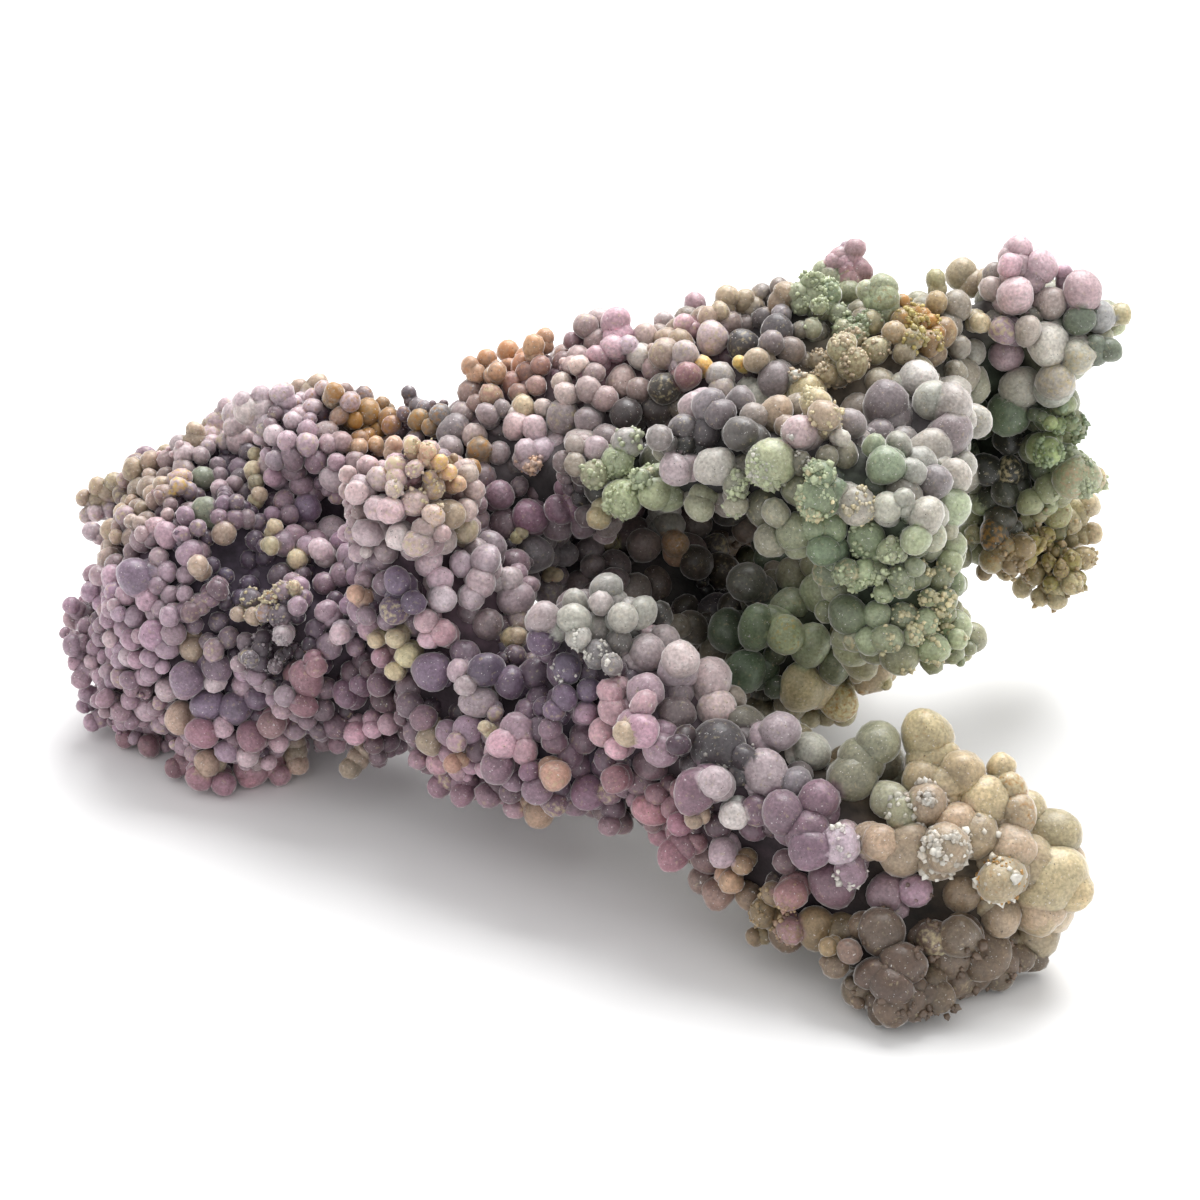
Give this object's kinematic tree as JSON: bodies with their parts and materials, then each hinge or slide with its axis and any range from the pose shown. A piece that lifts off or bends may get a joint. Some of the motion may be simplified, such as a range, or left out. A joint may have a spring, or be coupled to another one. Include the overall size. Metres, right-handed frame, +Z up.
{
  "type": "grape agate specimen",
  "caption": "Botryoidal grape agate specimen: a lilac to green mass of small spheres with a rounded head and a forked end, resting on broken flats.",
  "frame": {"origin": "middle of the bounding box, on the plane that the specimen rests on", "axes": "+X runs from the rounded head to the forked end, +Y from the lower arm to the back lobe, +Z up"},
  "size_m": [0.0988, 0.069, 0.0445],
  "materials": {
    "chalcedony": "frosted, satin"
  },
  "bodies": {
    "root": {"grape_agate": "chalcedony"}
  },
  "joints": []
}
